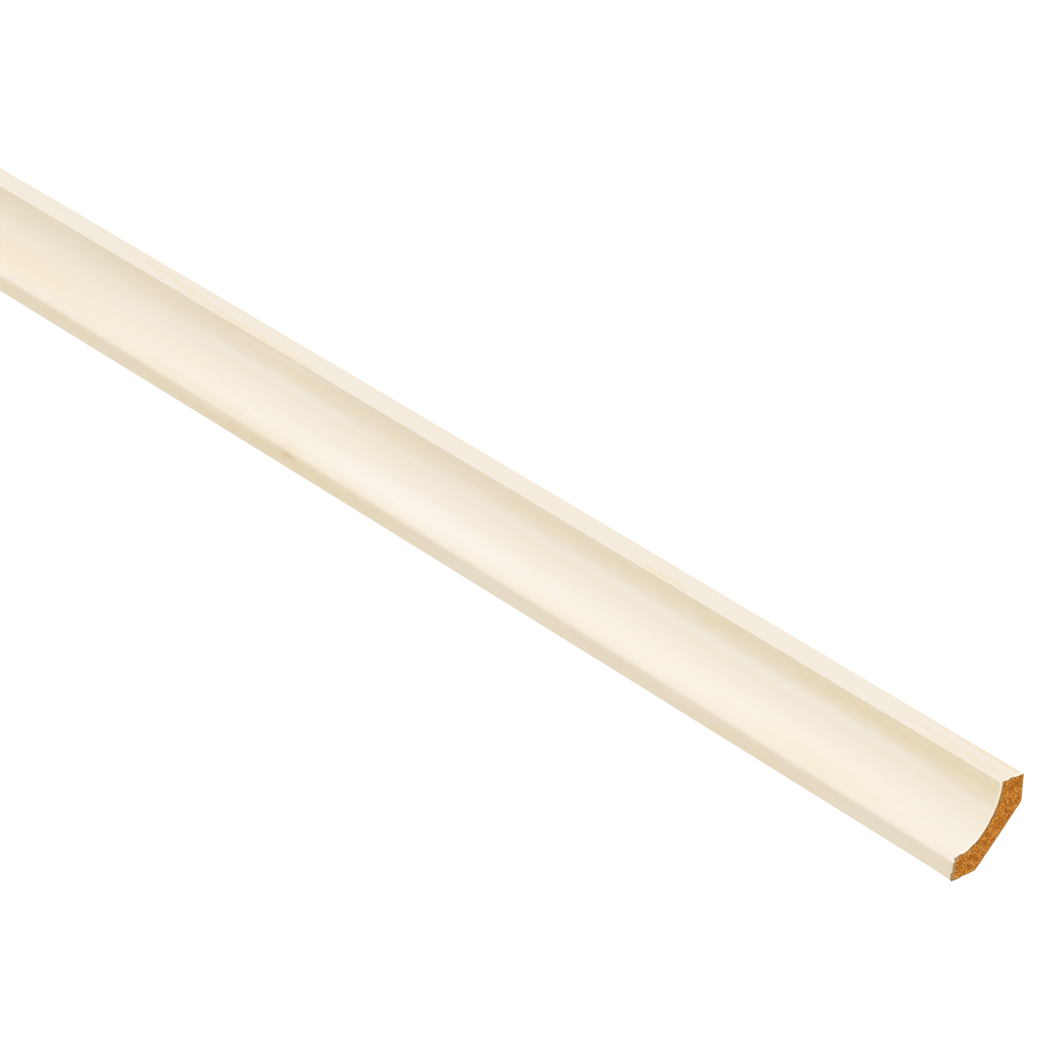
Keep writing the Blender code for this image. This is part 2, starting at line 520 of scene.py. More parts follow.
@dataclass(frozen=True)
class SawnFinish:
    """The orange-brown end grain that the saw has left, flecked, with a dark rim."""

    middle: tuple[float, float, float, float] = (0.600, 0.190, 0.013, 1.0)
    pale: tuple[float, float, float, float] = (0.93, 0.455, 0.095, 1.0)
    dark: tuple[float, float, float, float] = (0.245, 0.060, 0.004, 1.0)
    rim: tuple[float, float, float, float] = (0.40, 0.190, 0.058, 1.0)
    back_rim: tuple[float, float, float, float] = (0.56, 0.300, 0.110, 1.0)
    roughness: float = 0.85
    patch_mm: float = 1.9
    patch_swing: float = 0.30
    fleck_mm: float = 0.62
    speck_mm: float = 0.55
    rim_width: float = 0.42 * MM
    back_rim_width: float = 1.0 * MM
    back_from_mm: float = 1.5
    back_to_mm: float = 4.0
    front_rim: tuple[float, float, float, float] = (0.40, 0.295, 0.170, 1.0)
    front_rim_width: float = 0.9 * MM
    front_from_mm: float = -28.0
    front_to_mm: float = -30.4

    def _grained(self, bench: NodeBench, grown: bpy.types.Node, millimetres: Feed) -> tuple:
        """The end grain's colour and height, before the rim.

        Args:
            bench: the tree that is being filled.
            grown: the node of the timber's figure.
            millimetres: the coordinates.

        Returns:
            The colour, the specks and the height.
        """
        patches = bench.blotch(millimetres, (self.patch_mm,) * 3, detail=2.0, seed=4.4)
        swing = bench.math("MULTIPLY_ADD", patches, self.patch_swing, -0.5 * self.patch_swing)
        flecks = bench.blotch(millimetres, (self.fleck_mm,) * 3, detail=2.0, seed=9.2)
        lit = bench.math("ADD", flecks, swing)
        colour = bench.blend(bench.ramp(lit, 0.44, 0.64), self.middle, self.pale)
        specks = bench.blotch(millimetres, (self.speck_mm,) * 3, detail=2.0, seed=31.0)
        shady = bench.math("SUBTRACT", specks, swing)
        colour = bench.blend(bench.math("MULTIPLY", bench.ramp(shady, 0.47, 0.62), 0.9), colour, self.dark)
        shaded = bench.math("MULTIPLY", grown.outputs["Rings"], 0.35)
        shaded = bench.math("MULTIPLY_ADD", grown.outputs["Pores"], 0.3, shaded, clamp=True)
        colour = bench.blend(shaded, colour, self.dark)
        height = bench.math("MULTIPLY_ADD", flecks, 0.9, bench.math("MULTIPLY", specks, -0.9))
        height = bench.math("MULTIPLY_ADD", grown.outputs["Cells"], 0.8, height)
        return colour, specks, height

    def material(self, figure: bpy.types.NodeTree) -> bpy.types.Material:
        """Build the material.

        Args:
            figure: the shader group of the timber's figure.

        Returns:
            The material, named for its face.
        """
        made = bpy.data.materials.new(Face.SAWN.value)
        made.use_nodes = True
        bench = NodeBench(made.node_tree)
        place = bench.put("ShaderNodeTexCoord").outputs["Object"]
        grown = bench.put("ShaderNodeGroup", {}, node_tree=figure)
        bench.feed(grown.inputs["Place"], place)
        millimetres = bench.vector("MULTIPLY", place, (1 / MM,) * 3)
        colour, specks, height = self._grained(bench, grown, millimetres)

        rim = bench.put("ShaderNodeAttribute", attribute_name="rim").outputs["Fac"]
        parts = bench.put("ShaderNodeSeparateXYZ", {0: millimetres}).outputs
        toward_back = bench.math("SUBTRACT", parts[1], parts[2])
        behind = bench.ramp(toward_back, self.back_from_mm, self.back_to_mm)
        frayed = bench.math("MULTIPLY_ADD", specks, -self.rim_width, rim)
        back_edge = bench.math("MULTIPLY", bench.ramp(frayed, self.back_rim_width, 0.0), behind)
        colour = bench.blend(back_edge, colour, self.back_rim)
        edge = bench.ramp(frayed, self.rim_width, self.rim_width * 0.2)
        colour = bench.blend(bench.math("MULTIPLY", edge, 0.85), colour, self.rim)
        before = bench.ramp(parts[1], self.front_from_mm, self.front_to_mm)
        front_edge = bench.math("MULTIPLY", bench.ramp(frayed, self.front_rim_width, 0.1 * MM), before)
        colour = bench.blend(bench.math("MULTIPLY", front_edge, 0.85), colour, self.front_rim)

        bump = bench.put("ShaderNodeBump", {"Height": height, "Strength": 0.8, "Distance": 0.15 * MM})
        rough = bench.math("MULTIPLY_ADD", specks, 0.1, self.roughness)
        shader = bench.put("ShaderNodeBsdfPrincipled", {
            "Base Color": colour, "Roughness": rough, "Normal": bump.outputs[0],
            "Metallic": 0.0, "Specular IOR Level": 0.08,
        })
        bench.put("ShaderNodeOutputMaterial", {"Surface": shader.outputs[0]})
        return made


@dataclass(frozen=True)
class SplinterFinish:
    """Torn fibre: pale where it is thin, dark at the thick splinters."""

    pale: tuple[float, float, float, float] = (0.80, 0.66, 0.44, 1.0)
    dark: tuple[float, float, float, float] = (0.27, 0.21, 0.11, 1.0)
    roughness: float = 0.9

    def material(self, figure: bpy.types.NodeTree) -> bpy.types.Material:
        """Build the material.

        Args:
            figure: the shader group of the timber's figure.

        Returns:
            The material, named for its face.
        """
        made = bpy.data.materials.new(Face.SPLINTER.value)
        made.use_nodes = True
        bench = NodeBench(made.node_tree)
        place = bench.put("ShaderNodeTexCoord").outputs["Object"]
        grown = bench.put("ShaderNodeGroup", {}, node_tree=figure)
        bench.feed(grown.inputs["Place"], place)
        # Darker on the thick splinters than on the whiskers.
        splinter_darkening = bench.put("ShaderNodeAttribute", attribute_name="splinter_darkening").outputs["Fac"]
        shade = bench.math("MULTIPLY_ADD", grown.outputs["Cells"], 0.4, splinter_darkening, clamp=True)
        colour = bench.blend(shade, self.pale, self.dark)
        bump = bench.put("ShaderNodeBump", {
            "Height": grown.outputs["Cells"], "Strength": 0.5, "Distance": 0.03 * MM,
        })
        rough = bench.math("MULTIPLY_ADD", grown.outputs["Cells"], 0.08, self.roughness)
        shader = bench.put("ShaderNodeBsdfPrincipled", {
            "Base Color": colour, "Roughness": rough, "Normal": bump.outputs[0],
            "Metallic": 0.0, "Specular IOR Level": 0.08,
        })
        bench.put("ShaderNodeOutputMaterial", {"Surface": shader.outputs[0]})
        return made


@dataclass(frozen=True)
class TornSpot:
    """A place on a sawn rim where the surface broke away along the grain."""

    y_mm: float
    z_mm: float
    width_mm: float
    back_mm: float
    inward_mm: float = 0.0


@dataclass
class MouldedLength:
    """The solid length: the section drawn out along X by a geometry tree, with closed ends."""

    section: Section
    length: float
    materials: dict[Face, bpy.types.Material]
    end_zone: float = 6.0 * MM
    end_stations: int = 16
    middle_pitch: float = 3.6 * MM
    weld: float = 0.001 * MM

    def stations(self) -> list[float]:
        """Places of the cross-rings along X, close together near the sawn ends.

        Returns:
            The places in rising order.
        """
        reach = self.length / 2
        near = [reach - self.end_zone * (step / self.end_stations) ** 2 for step in range(self.end_stations)]
        inner = reach - self.end_zone
        count = round(2 * inner / self.middle_pitch)
        middle = [-inner + 2 * inner * step / count for step in range(count + 1)]
        return [*(-place for place in near), *middle, *reversed(near)]

    def _outline_object(self) -> bpy.types.Object:
        """The section's outline as a closed wire, carrying its inward directions and run.

        Returns:
            The object that the geometry tree is put on.
        """
        places = self.section.outline()
        count = len(places)
        mesh = bpy.data.meshes.new("section_outline")
        mesh.from_pydata(
            [(0.0, point.x, point.y) for point in places],
            [(step, (step + 1) % count) for step in range(count)], [],
        )
        inward, walk = [], []
        covered = 0.0
        for step, point in enumerate(places):
            ahead = places[(step + 1) % count]
            travel = (ahead - places[step - 1]).normalized()
            inward.extend((0.0, travel.y, -travel.x))
            walk.append(covered)
            covered += (ahead - point).length
        mesh.attributes.new("inward", "FLOAT_VECTOR", "POINT").data.foreach_set("vector", inward)
        mesh.attributes.new("walk", "FLOAT", "POINT").data.foreach_set("value", walk)
        made = bpy.data.objects.new("section_outline", mesh)
        bpy.context.scene.collection.objects.link(made)
        return made

    def _station_object(self) -> bpy.types.Object:
        """The cross-rings' places as loose points on X.

        Returns:
            The object that the geometry tree reads them from.
        """
        mesh = bpy.data.meshes.new("ring_stations")
        mesh.from_pydata([(place, 0.0, 0.0) for place in self.stations()], [], [])
        made = bpy.data.objects.new("ring_stations", mesh)
        bpy.context.scene.collection.objects.link(made)
        return made

    @staticmethod
    def _sample(
        bench: NodeBench, geometry: Feed, index: Feed, value: Feed, kind: str = "FLOAT_VECTOR"
    ) -> bpy.types.NodeSocket:
        """A value read from one point of a geometry.

        Args:
            bench: the tree that is being filled.
            geometry: the geometry to read.
            index: the point's number.
            value: the field to read there.
            kind: the field's data type.

        Returns:
            The output socket.
        """
        node = bench.put("GeometryNodeSampleIndex", data_type=kind, domain="POINT")
        bench.feed(node.inputs["Geometry"], geometry)
        bench.feed(node.inputs["Value"], value)
        bench.feed(node.inputs["Index"], index)
        return node.outputs[0]

    @staticmethod
    def _grid(bench: NodeBench, columns: Feed, rows: Feed) -> tuple[bpy.types.NodeSocket, ...]:
        """A grid mesh to bend into shape, with each vertex's column and row.

        Args:
            bench: the tree that is being filled.
            columns: how many steps the grid has along X.
            rows: how many steps it has along Y.

        Returns:
            The mesh, the column and the row.
        """
        tall = bench.math("ADD", rows, 1.0)
        grid = bench.put("GeometryNodeMeshGrid", {
            "Vertices X": bench.math("ADD", columns, 1.0), "Vertices Y": tall,
        })
        index = bench.put("GeometryNodeInputIndex").outputs[0]
        column = bench.math("FLOOR", bench.math("DIVIDE", bench.math("ADD", index, 0.5), tall))
        row = bench.math("SUBTRACT", index, bench.math("MULTIPLY", column, tall))
        return grid.outputs["Mesh"], column, row

    @staticmethod
    def _between(bench: NodeBench, amount: Feed, first: Feed, second: Feed) -> bpy.types.NodeSocket:
        """The place between two places.

        Args:
            bench: the tree that is being filled.
            amount: 0 at the first place and 1 at the second.
            first: the first place.
            second: the second place.

        Returns:
            The output socket.
        """
        return bench.put("ShaderNodeMix", {0: amount, 4: first, 5: second}, data_type="VECTOR").outputs[1]

    def _end_sheet(self, bench: NodeBench, given: bpy.types.Node, outline: Feed) -> bpy.types.NodeSocket:
        """One end as a sheet of even cells, stretched between the four stretches of the outline.

        Args:
            bench: the tree that is being filled.
            given: the tree's Group Input node.
            outline: the section's outline.

        Returns:
            The sheet, standing at x = 0.
        """
        cove, leg = given.outputs["Cove Steps"], given.outputs["Leg Steps"]
        sheet, column, row = self._grid(bench, cove, leg)
        u = bench.math("DIVIDE", column, cove)
        v = bench.math("DIVIDE", row, leg)
        half = bench.math("ADD", cove, leg)
        whole = bench.math("MULTIPLY", half, 2.0)
        far = bench.math("ADD", half, cove)
        place = bench.put("GeometryNodeInputPosition").outputs[0]

        def corner(index: Feed) -> bpy.types.NodeSocket:
            """The outline's point of that number."""
            return self._sample(bench, outline, index, place)

        front = corner(column)
        back = corner(bench.math("SUBTRACT", far, column))
        upper = corner(bench.math("ADD", cove, row))
        lower = corner(bench.math("MODULO", bench.math("SUBTRACT", whole, row), whole))
        nose, brow, wall_heel, ceiling_heel = corner(0), corner(cove), corner(half), corner(far)
        across = self._between(bench, v, front, back)
        along = self._between(bench, u, lower, upper)
        corners = self._between(
            bench, v, self._between(bench, u, nose, brow), self._between(bench, u, ceiling_heel, wall_heel)
        )
        spread = bench.vector("SUBTRACT", bench.vector("ADD", across, along), corners)
        return bench.put("GeometryNodeSetPosition", {"Geometry": sheet, "Position": spread}).outputs[0]

    def _skin(self, bench: NodeBench, given: bpy.types.Node, outline: Feed) -> bpy.types.NodeSocket:
        """The long faces: the outline repeated at each station.

        Args:
            bench: the tree that is being filled.
            given: the tree's Group Input node.
            outline: the section's outline.

        Returns:
            The open tube, its first and last rows lying on each other.
        """
        rings = bench.math("SUBTRACT", given.outputs["Stations"], 1.0)
        around = bench.math("MULTIPLY", bench.math("ADD", given.outputs["Cove Steps"], given.outputs["Leg Steps"]), 2.0)
        sheet, column, row = self._grid(bench, rings, around)
        place = bench.put("GeometryNodeInputPosition").outputs[0]
        stations = bench.put("GeometryNodeObjectInfo", {"Object": given.outputs["Station Points"]})
        station = self._sample(bench, stations.outputs["Geometry"], column, place)
        ring = self._sample(bench, outline, bench.math("MODULO", row, around), place)
        return bench.put(
            "GeometryNodeSetPosition", {"Geometry": sheet, "Position": bench.vector("ADD", station, ring)}
        ).outputs[0]

    def tree(self) -> bpy.types.NodeTree:
        """Build the geometry tree that draws the section out into a closed solid.

        Returns:
            The tree.
        """
        tree = bpy.data.node_groups.new("moulded_length", "GeometryNodeTree")
        face = tree.interface
        face.new_socket("Outline", in_out="INPUT", socket_type="NodeSocketGeometry")
        face.new_socket("Length", in_out="INPUT", socket_type="NodeSocketFloat")
        for name in ("Cove Steps", "Leg Steps", "Stations"):
            face.new_socket(name, in_out="INPUT", socket_type="NodeSocketInt")
        face.new_socket("Station Points", in_out="INPUT", socket_type="NodeSocketObject")
        for name in ("Planed", "Back", "Sawn"):
            face.new_socket(name, in_out="INPUT", socket_type="NodeSocketMaterial")
        face.new_socket("Solid", in_out="OUTPUT", socket_type="NodeSocketGeometry")
        bench = NodeBench(tree)
        given = bench.put("NodeGroupInput")
        outline = given.outputs["Outline"]

        skin = self._skin(bench, given, outline)
        sheet = self._end_sheet(bench, given, outline)
        half = bench.math("DIVIDE", given.outputs["Length"], 2.0)
        ends = []
        for sign in (1.0, -1.0):
            shift = bench.put("ShaderNodeCombineXYZ", {0: bench.math("MULTIPLY", half, sign)}).outputs[0]
            ends.append(bench.put("GeometryNodeSetPosition", {"Geometry": sheet, "Offset": shift}).outputs[0])
        ends[1] = bench.put("GeometryNodeFlipFaces", {"Mesh": ends[1]}).outputs[0]
        both = bench.put("GeometryNodeJoinGeometry")
        for end in ends:
            bench.feed(both.inputs[0], end)
        marked = bench.put(
            "GeometryNodeStoreNamedAttribute", {"Geometry": both.outputs[0], "Name": "sawn", "Value": True},
            data_type="BOOLEAN", domain="FACE",
        ).outputs[0]
        whole = bench.put("GeometryNodeJoinGeometry")
        bench.feed(whole.inputs[0], skin)
        bench.feed(whole.inputs[0], marked)
        welded = bench.put(
            "GeometryNodeMergeByDistance", {"Geometry": whole.outputs[0], "Distance": self.weld}
        ).outputs[0]

        flat = bench.vector("MULTIPLY", bench.put("GeometryNodeInputPosition").outputs[0], (0.0, 1.0, 1.0))
        nearest = bench.put("GeometryNodeSampleNearest", {"Geometry": outline, "Sample Position": flat}).outputs[0]
        for name, kind in (("inward", "FLOAT_VECTOR"), ("walk", "FLOAT")):
            own = bench.put("GeometryNodeInputNamedAttribute", {"Name": name}, data_type=kind).outputs[0]
            value = self._sample(bench, outline, nearest, own, kind)
            welded = bench.put(
                "GeometryNodeStoreNamedAttribute", {"Geometry": welded, "Name": name, "Value": value},
                data_type=kind, domain="POINT",
            ).outputs[0]
        distance = bench.put("GeometryNodeProximity", target_element="EDGES")
        bench.feed(distance.inputs[0], outline)
        bench.feed(distance.inputs["Sample Position"], flat)
        rimmed = bench.put(
            "GeometryNodeStoreNamedAttribute",
            {"Geometry": welded, "Name": "rim", "Value": distance.outputs["Distance"]},
            data_type="FLOAT", domain="POINT",
        ).outputs[0]

        real = bench.put("GeometryNodeRealizeInstances", {"Geometry": rimmed}).outputs[0]
        toward_back = bench.put(
            "ShaderNodeVectorMath",
            {0: bench.put("GeometryNodeInputNormal").outputs[0], 1: (0.0, 1.0, -1.0)},
            operation="DOT_PRODUCT",
        ).outputs["Value"]
        is_back = bench.put("FunctionNodeCompare", {0: toward_back, 1: 0.0}, operation="GREATER_THAN").outputs[0]
        is_sawn = bench.put("GeometryNodeInputNamedAttribute", {"Name": "sawn"}, data_type="BOOLEAN").outputs[0]
        dressed = bench.put("GeometryNodeSetMaterial", {"Geometry": real, "Material": given.outputs["Planed"]})
        for name, selection in (("Back", is_back), ("Sawn", is_sawn)):
            dressed = bench.put("GeometryNodeSetMaterial", {
                "Geometry": dressed.outputs[0], "Selection": selection, "Material": given.outputs[name],
            })
        bench.put("NodeGroupOutput", {0: dressed.outputs[0]})
        return tree

    def build(self) -> bpy.types.Object:
        """Run the tree and keep its result as a plain mesh.

        Returns:
            The moulding's object, at the origin.
        """
        host = self._outline_object()
        points = self._station_object()
        solid = run_tree(host, "moulded_timber", self.tree(), {
            "Length": self.length,
            "Cove Steps": self.section.cove_steps,
            "Leg Steps": self.section.leg_steps,
            "Stations": len(points.data.vertices),
            "Station Points": points,
            "Planed": self.materials[Face.PLANED],
            "Back": self.materials[Face.BACK],
            "Sawn": self.materials[Face.SAWN],
        })
        bpy.data.objects.remove(points, do_unlink=True)
        return solid


def read_points(mesh: bpy.types.Mesh) -> np.ndarray:
    """The mesh's points.

    Args:
        mesh: the mesh.

    Returns:
        One row of x, y and z for each point.
    """
    values = np.empty(len(mesh.vertices) * 3, dtype=np.float32)
    mesh.vertices.foreach_get("co", values)
    return values.reshape(-1, 3).astype(float)


def write_points(mesh: bpy.types.Mesh, places: np.ndarray) -> None:
    """Move the mesh's points.

    Args:
        mesh: the mesh.
        places: one row of x, y and z for each point.
    """
    mesh.vertices.foreach_set("co", places.astype(np.float32).ravel())
    mesh.update()


def read_attribute(mesh: bpy.types.Mesh, name: str, width: int) -> np.ndarray:
    """One of the mesh's point attributes.

    Args:
        mesh: the mesh.
        name: the attribute's name.
        width: how many numbers each point has.

    Returns:
        The values, one row for each point where there is more than one number.
    """
    values = np.empty(len(mesh.vertices) * width, dtype=np.float32)
    mesh.attributes[name].data.foreach_get("vector" if width > 1 else "value", values)
    return values.reshape(-1, width) if width > 1 else values


def run_tree(
    host: bpy.types.Object, name: str, tree: bpy.types.NodeTree, values: Mapping[str, object]
) -> bpy.types.Object:
    """Put a geometry tree on an object, set its inputs, and keep the result as a plain mesh.

    Args:
        host: the object whose geometry goes in. It is removed.
        name: the new object's name.
        tree: the geometry tree.
        values: the tree's inputs by name.

    Returns:
        The new object.
    """
    modifier = host.modifiers.new(name, "NODES")
    modifier.node_group = tree
    for item in tree.interface.items_tree:
        if item.item_type == "SOCKET" and item.in_out == "INPUT" and item.name in values:
            modifier[item.identifier] = values[item.name]
    graph = bpy.context.evaluated_depsgraph_get()
    graph.update()
    mesh = bpy.data.meshes.new_from_object(host.evaluated_get(graph))
    mesh.name = name
    if mesh.materials and mesh.materials[0] is None:
        mesh.materials.pop(index=0)
    bpy.data.objects.remove(host, do_unlink=True)
    made = bpy.data.objects.new(name, mesh)
    bpy.context.scene.collection.objects.link(made)
    return made


@dataclass(frozen=True)
class WornStretch:
    """A stretch of an arris that is rubbed rounder than the rest of it."""

    at_mm: float
    length_mm: float
    depth_mm: float

    def depth(self, along: np.ndarray) -> np.ndarray:
        """How deep the rubbing goes, in metres.

        Args:
            along: places along the moulding, in metres.

        Returns:
            The depth at each place.
        """
        share = np.clip(1.0 - np.abs(along / MM - self.at_mm) / (self.length_mm / 2), 0.0, 1.0)
        return self.depth_mm * MM * share * share * (3.0 - 2.0 * share)


@dataclass
class LongWear:
    """The slight crook of the whole length, and the worn stretches of the cove's two arrises."""

    section: Section
    length: float
    nose_stretches: Sequence[WornStretch]
    brow_stretches: Sequence[WornStretch]
    crook: float = 0.69 * MM
    reach: float = 3.6 * MM
    cap_reach: float = 2.5 * MM
    droop: float = 0.5 * MM
    droop_reach: float = 3.5 * MM
    droop_run: float = 11.0 * MM

    def work(self, solid: bpy.types.Object) -> None:
        """Bend the length, round the worn stretches and splay the foot at the near sawn end.

        Args:
            solid: the moulding's object.
        """
        places = read_points(solid.data)
        walk = read_attribute(solid.data, "walk", 1)
        rim = read_attribute(solid.data, "rim", 1)
        inward = read_attribute(solid.data, "inward", 3)
        outline = self.section.outline()
        steps = [(after - point).length for point, after in zip(outline, [*outline[1:], outline[0]])]
        around = sum(steps)
        brow = sum(steps[:self.section.cove_steps + self.section.arris_steps // 2])
        nose = around - sum(steps[-(self.section.arris_steps // 2):])
        across = np.clip(1.0 - rim / self.cap_reach, 0.0, 1.0) ** 2
        for middle, stretches in ((nose, self.nose_stretches), (brow, self.brow_stretches)):
            apart = np.abs(walk - middle)
            apart = np.minimum(apart, around - apart)
            share = np.clip(1.0 - (apart / self.reach) ** 2, 0.0, 1.0) ** 2 * across
            depth = sum(stretch.depth(places[:, 0]) for stretch in stretches)
            places += inward * (share * depth)[:, None]
        along = places[:, 0] / (self.length / 2)
        foot_gap = np.hypot(places[:, 1] + self.section.depth, places[:, 2] - self.section.bottom)
        foot_share = np.clip(1.0 - (foot_gap / self.droop_reach) ** 2, 0.0, 1.0) ** 2
        end_share = np.clip(1.0 - (self.length / 2 - places[:, 0]) / self.droop_run, 0.0, 1.0) ** 2
        places[:, 2] -= self.droop * foot_share * end_share
        places[:, 1] += self.crook * (0.5 - along**2)
        write_points(solid.data, places)


@dataclass
class SawnEnds:
    """What the saw did to both ends: a torn rim, saw marks and rough end grain."""

    section: Section
    length: float
    near_spots: Sequence[TornSpot]
    far_spots: Sequence[TornSpot]
    zone: float = 5.0 * MM
    cap_reach: float = 1.5 * MM
    fray: float = 0.16 * MM
    saw_pitch: float = 1.1 * MM
    saw_depth: float = 0.035 * MM
    saw_hub: tuple[float, float] = (-0.10, 0.06)
    fuzz: float = 0.045 * MM

    def _spot_walks(self, spots: Sequence[TornSpot]) -> list[tuple[float, TornSpot]]:
        """Where along the outline each torn spot lies.

        Args:
            spots: the torn spots of one end.

        Returns:
            The spots, each with its run along the outline.
        """
        places = self.section.outline()
        found = []
        for spot in spots:
            target = Vector((spot.y_mm * MM, spot.z_mm * MM))
            best = min(range(len(places)), key=lambda step: (places[step] - target).length)
            walk = sum((places[step + 1] - places[step]).length for step in range(best))
            found.append((walk, spot))
        return found

    def _rim_at(self, walk: float, seed: float, spots: Sequence[tuple[float, TornSpot]]) -> tuple[float, float]:
        """How far the rim has gone back along the grain and in from the surface.

        Args:
            walk: the place along the outline.
            seed: a shift that gives each end its own tear.
            spots: the end's torn spots with their places.

        Returns:
            The two distances.
        """
        coarse = noise.noise((walk / (2.3 * MM), seed, 0.0))
        fine = noise.noise((walk / (0.55 * MM), seed, 7.0))
        back = self.fray * (0.75 * coarse + 0.6 * fine)
        inward = self.fray * max(0.0, 0.5 * fine + 0.3 * coarse)
        for place, spot in spots:
            share = max(0.0, 1.0 - abs(walk - place) / (spot.width_mm * MM / 2))
            share = min(1.0, share * 1.8)
            share = share * share * (3.0 - 2.0 * share)
            back += spot.back_mm * MM * share
            inward += spot.inward_mm * MM * share
        return back, inward

    def work(self, solid: bpy.types.Object) -> None:
        """Tear and mark both ends of the solid, and note each point's distance from its end.

        Args:
            solid: the moulding's object.
        """
        mesh = solid.data
        places = read_points(mesh)
        rim, walk = read_attribute(mesh, "rim", 1), read_attribute(mesh, "walk", 1)
        inward = read_attribute(mesh, "inward", 3)
        gap = np.clip(self.length / 2 - np.abs(places[:, 0]), 0.0, None)
        mesh.attributes.new("end_gap", "FLOAT", "POINT").data.foreach_set("value", gap.astype(np.float32))
        for sign, seed, spots in ((1.0, 11.0, self.near_spots), (-1.0, 47.0, self.far_spots)):
            torn = self._spot_walks(spots)
            for index in np.flatnonzero((gap < self.zone) & (places[:, 0] * sign > 0)):
                back, into = self._rim_at(float(walk[index]), seed, torn)
                along = (1.0 - gap[index] / self.zone) ** 2
                across = max(0.0, 1.0 - rim[index] / self.cap_reach) ** 2
                y, z = places[index, 1], places[index, 2]
                if rim[index] > self.weld_rim:
                    run = math.hypot(y - self.saw_hub[0], z - self.saw_hub[1])
                    waver = 0.8 * noise.noise((y / (4 * MM), z / (4 * MM), seed))
                    mark = 0.5 + 0.5 * math.sin(2 * math.pi * run / self.saw_pitch + waver)
                    rough = noise.noise((y / (0.45 * MM), z / (0.45 * MM), seed + 3.0))
                    rough += 0.6 * noise.noise((y / (1.3 * MM), z / (1.3 * MM), seed + 5.0))
                    inner = min(1.0, rim[index] / (0.4 * MM))
                    places[index, 0] -= sign * inner * (self.saw_depth * mark + self.fuzz * rough)
                places[index, 0] -= sign * back * along * across
                fade = max(0.0, 1.0 - gap[index] / (1.2 * MM)) ** 2
                places[index] += inward[index] * into * fade * across
        write_points(mesh, places)

    @property
    def weld_rim(self) -> float:
        """The rim distance under which a point still belongs to the long faces."""
        return 0.01 * MM


@dataclass(frozen=True)
class Splinter:
    """A thick torn splinter at a corner of the near sawn end."""

    y_mm: float
    z_mm: float
    lean: tuple[float, float, float]
    length_mm: float
    width_mm: float
    back_mm: float = 0.0


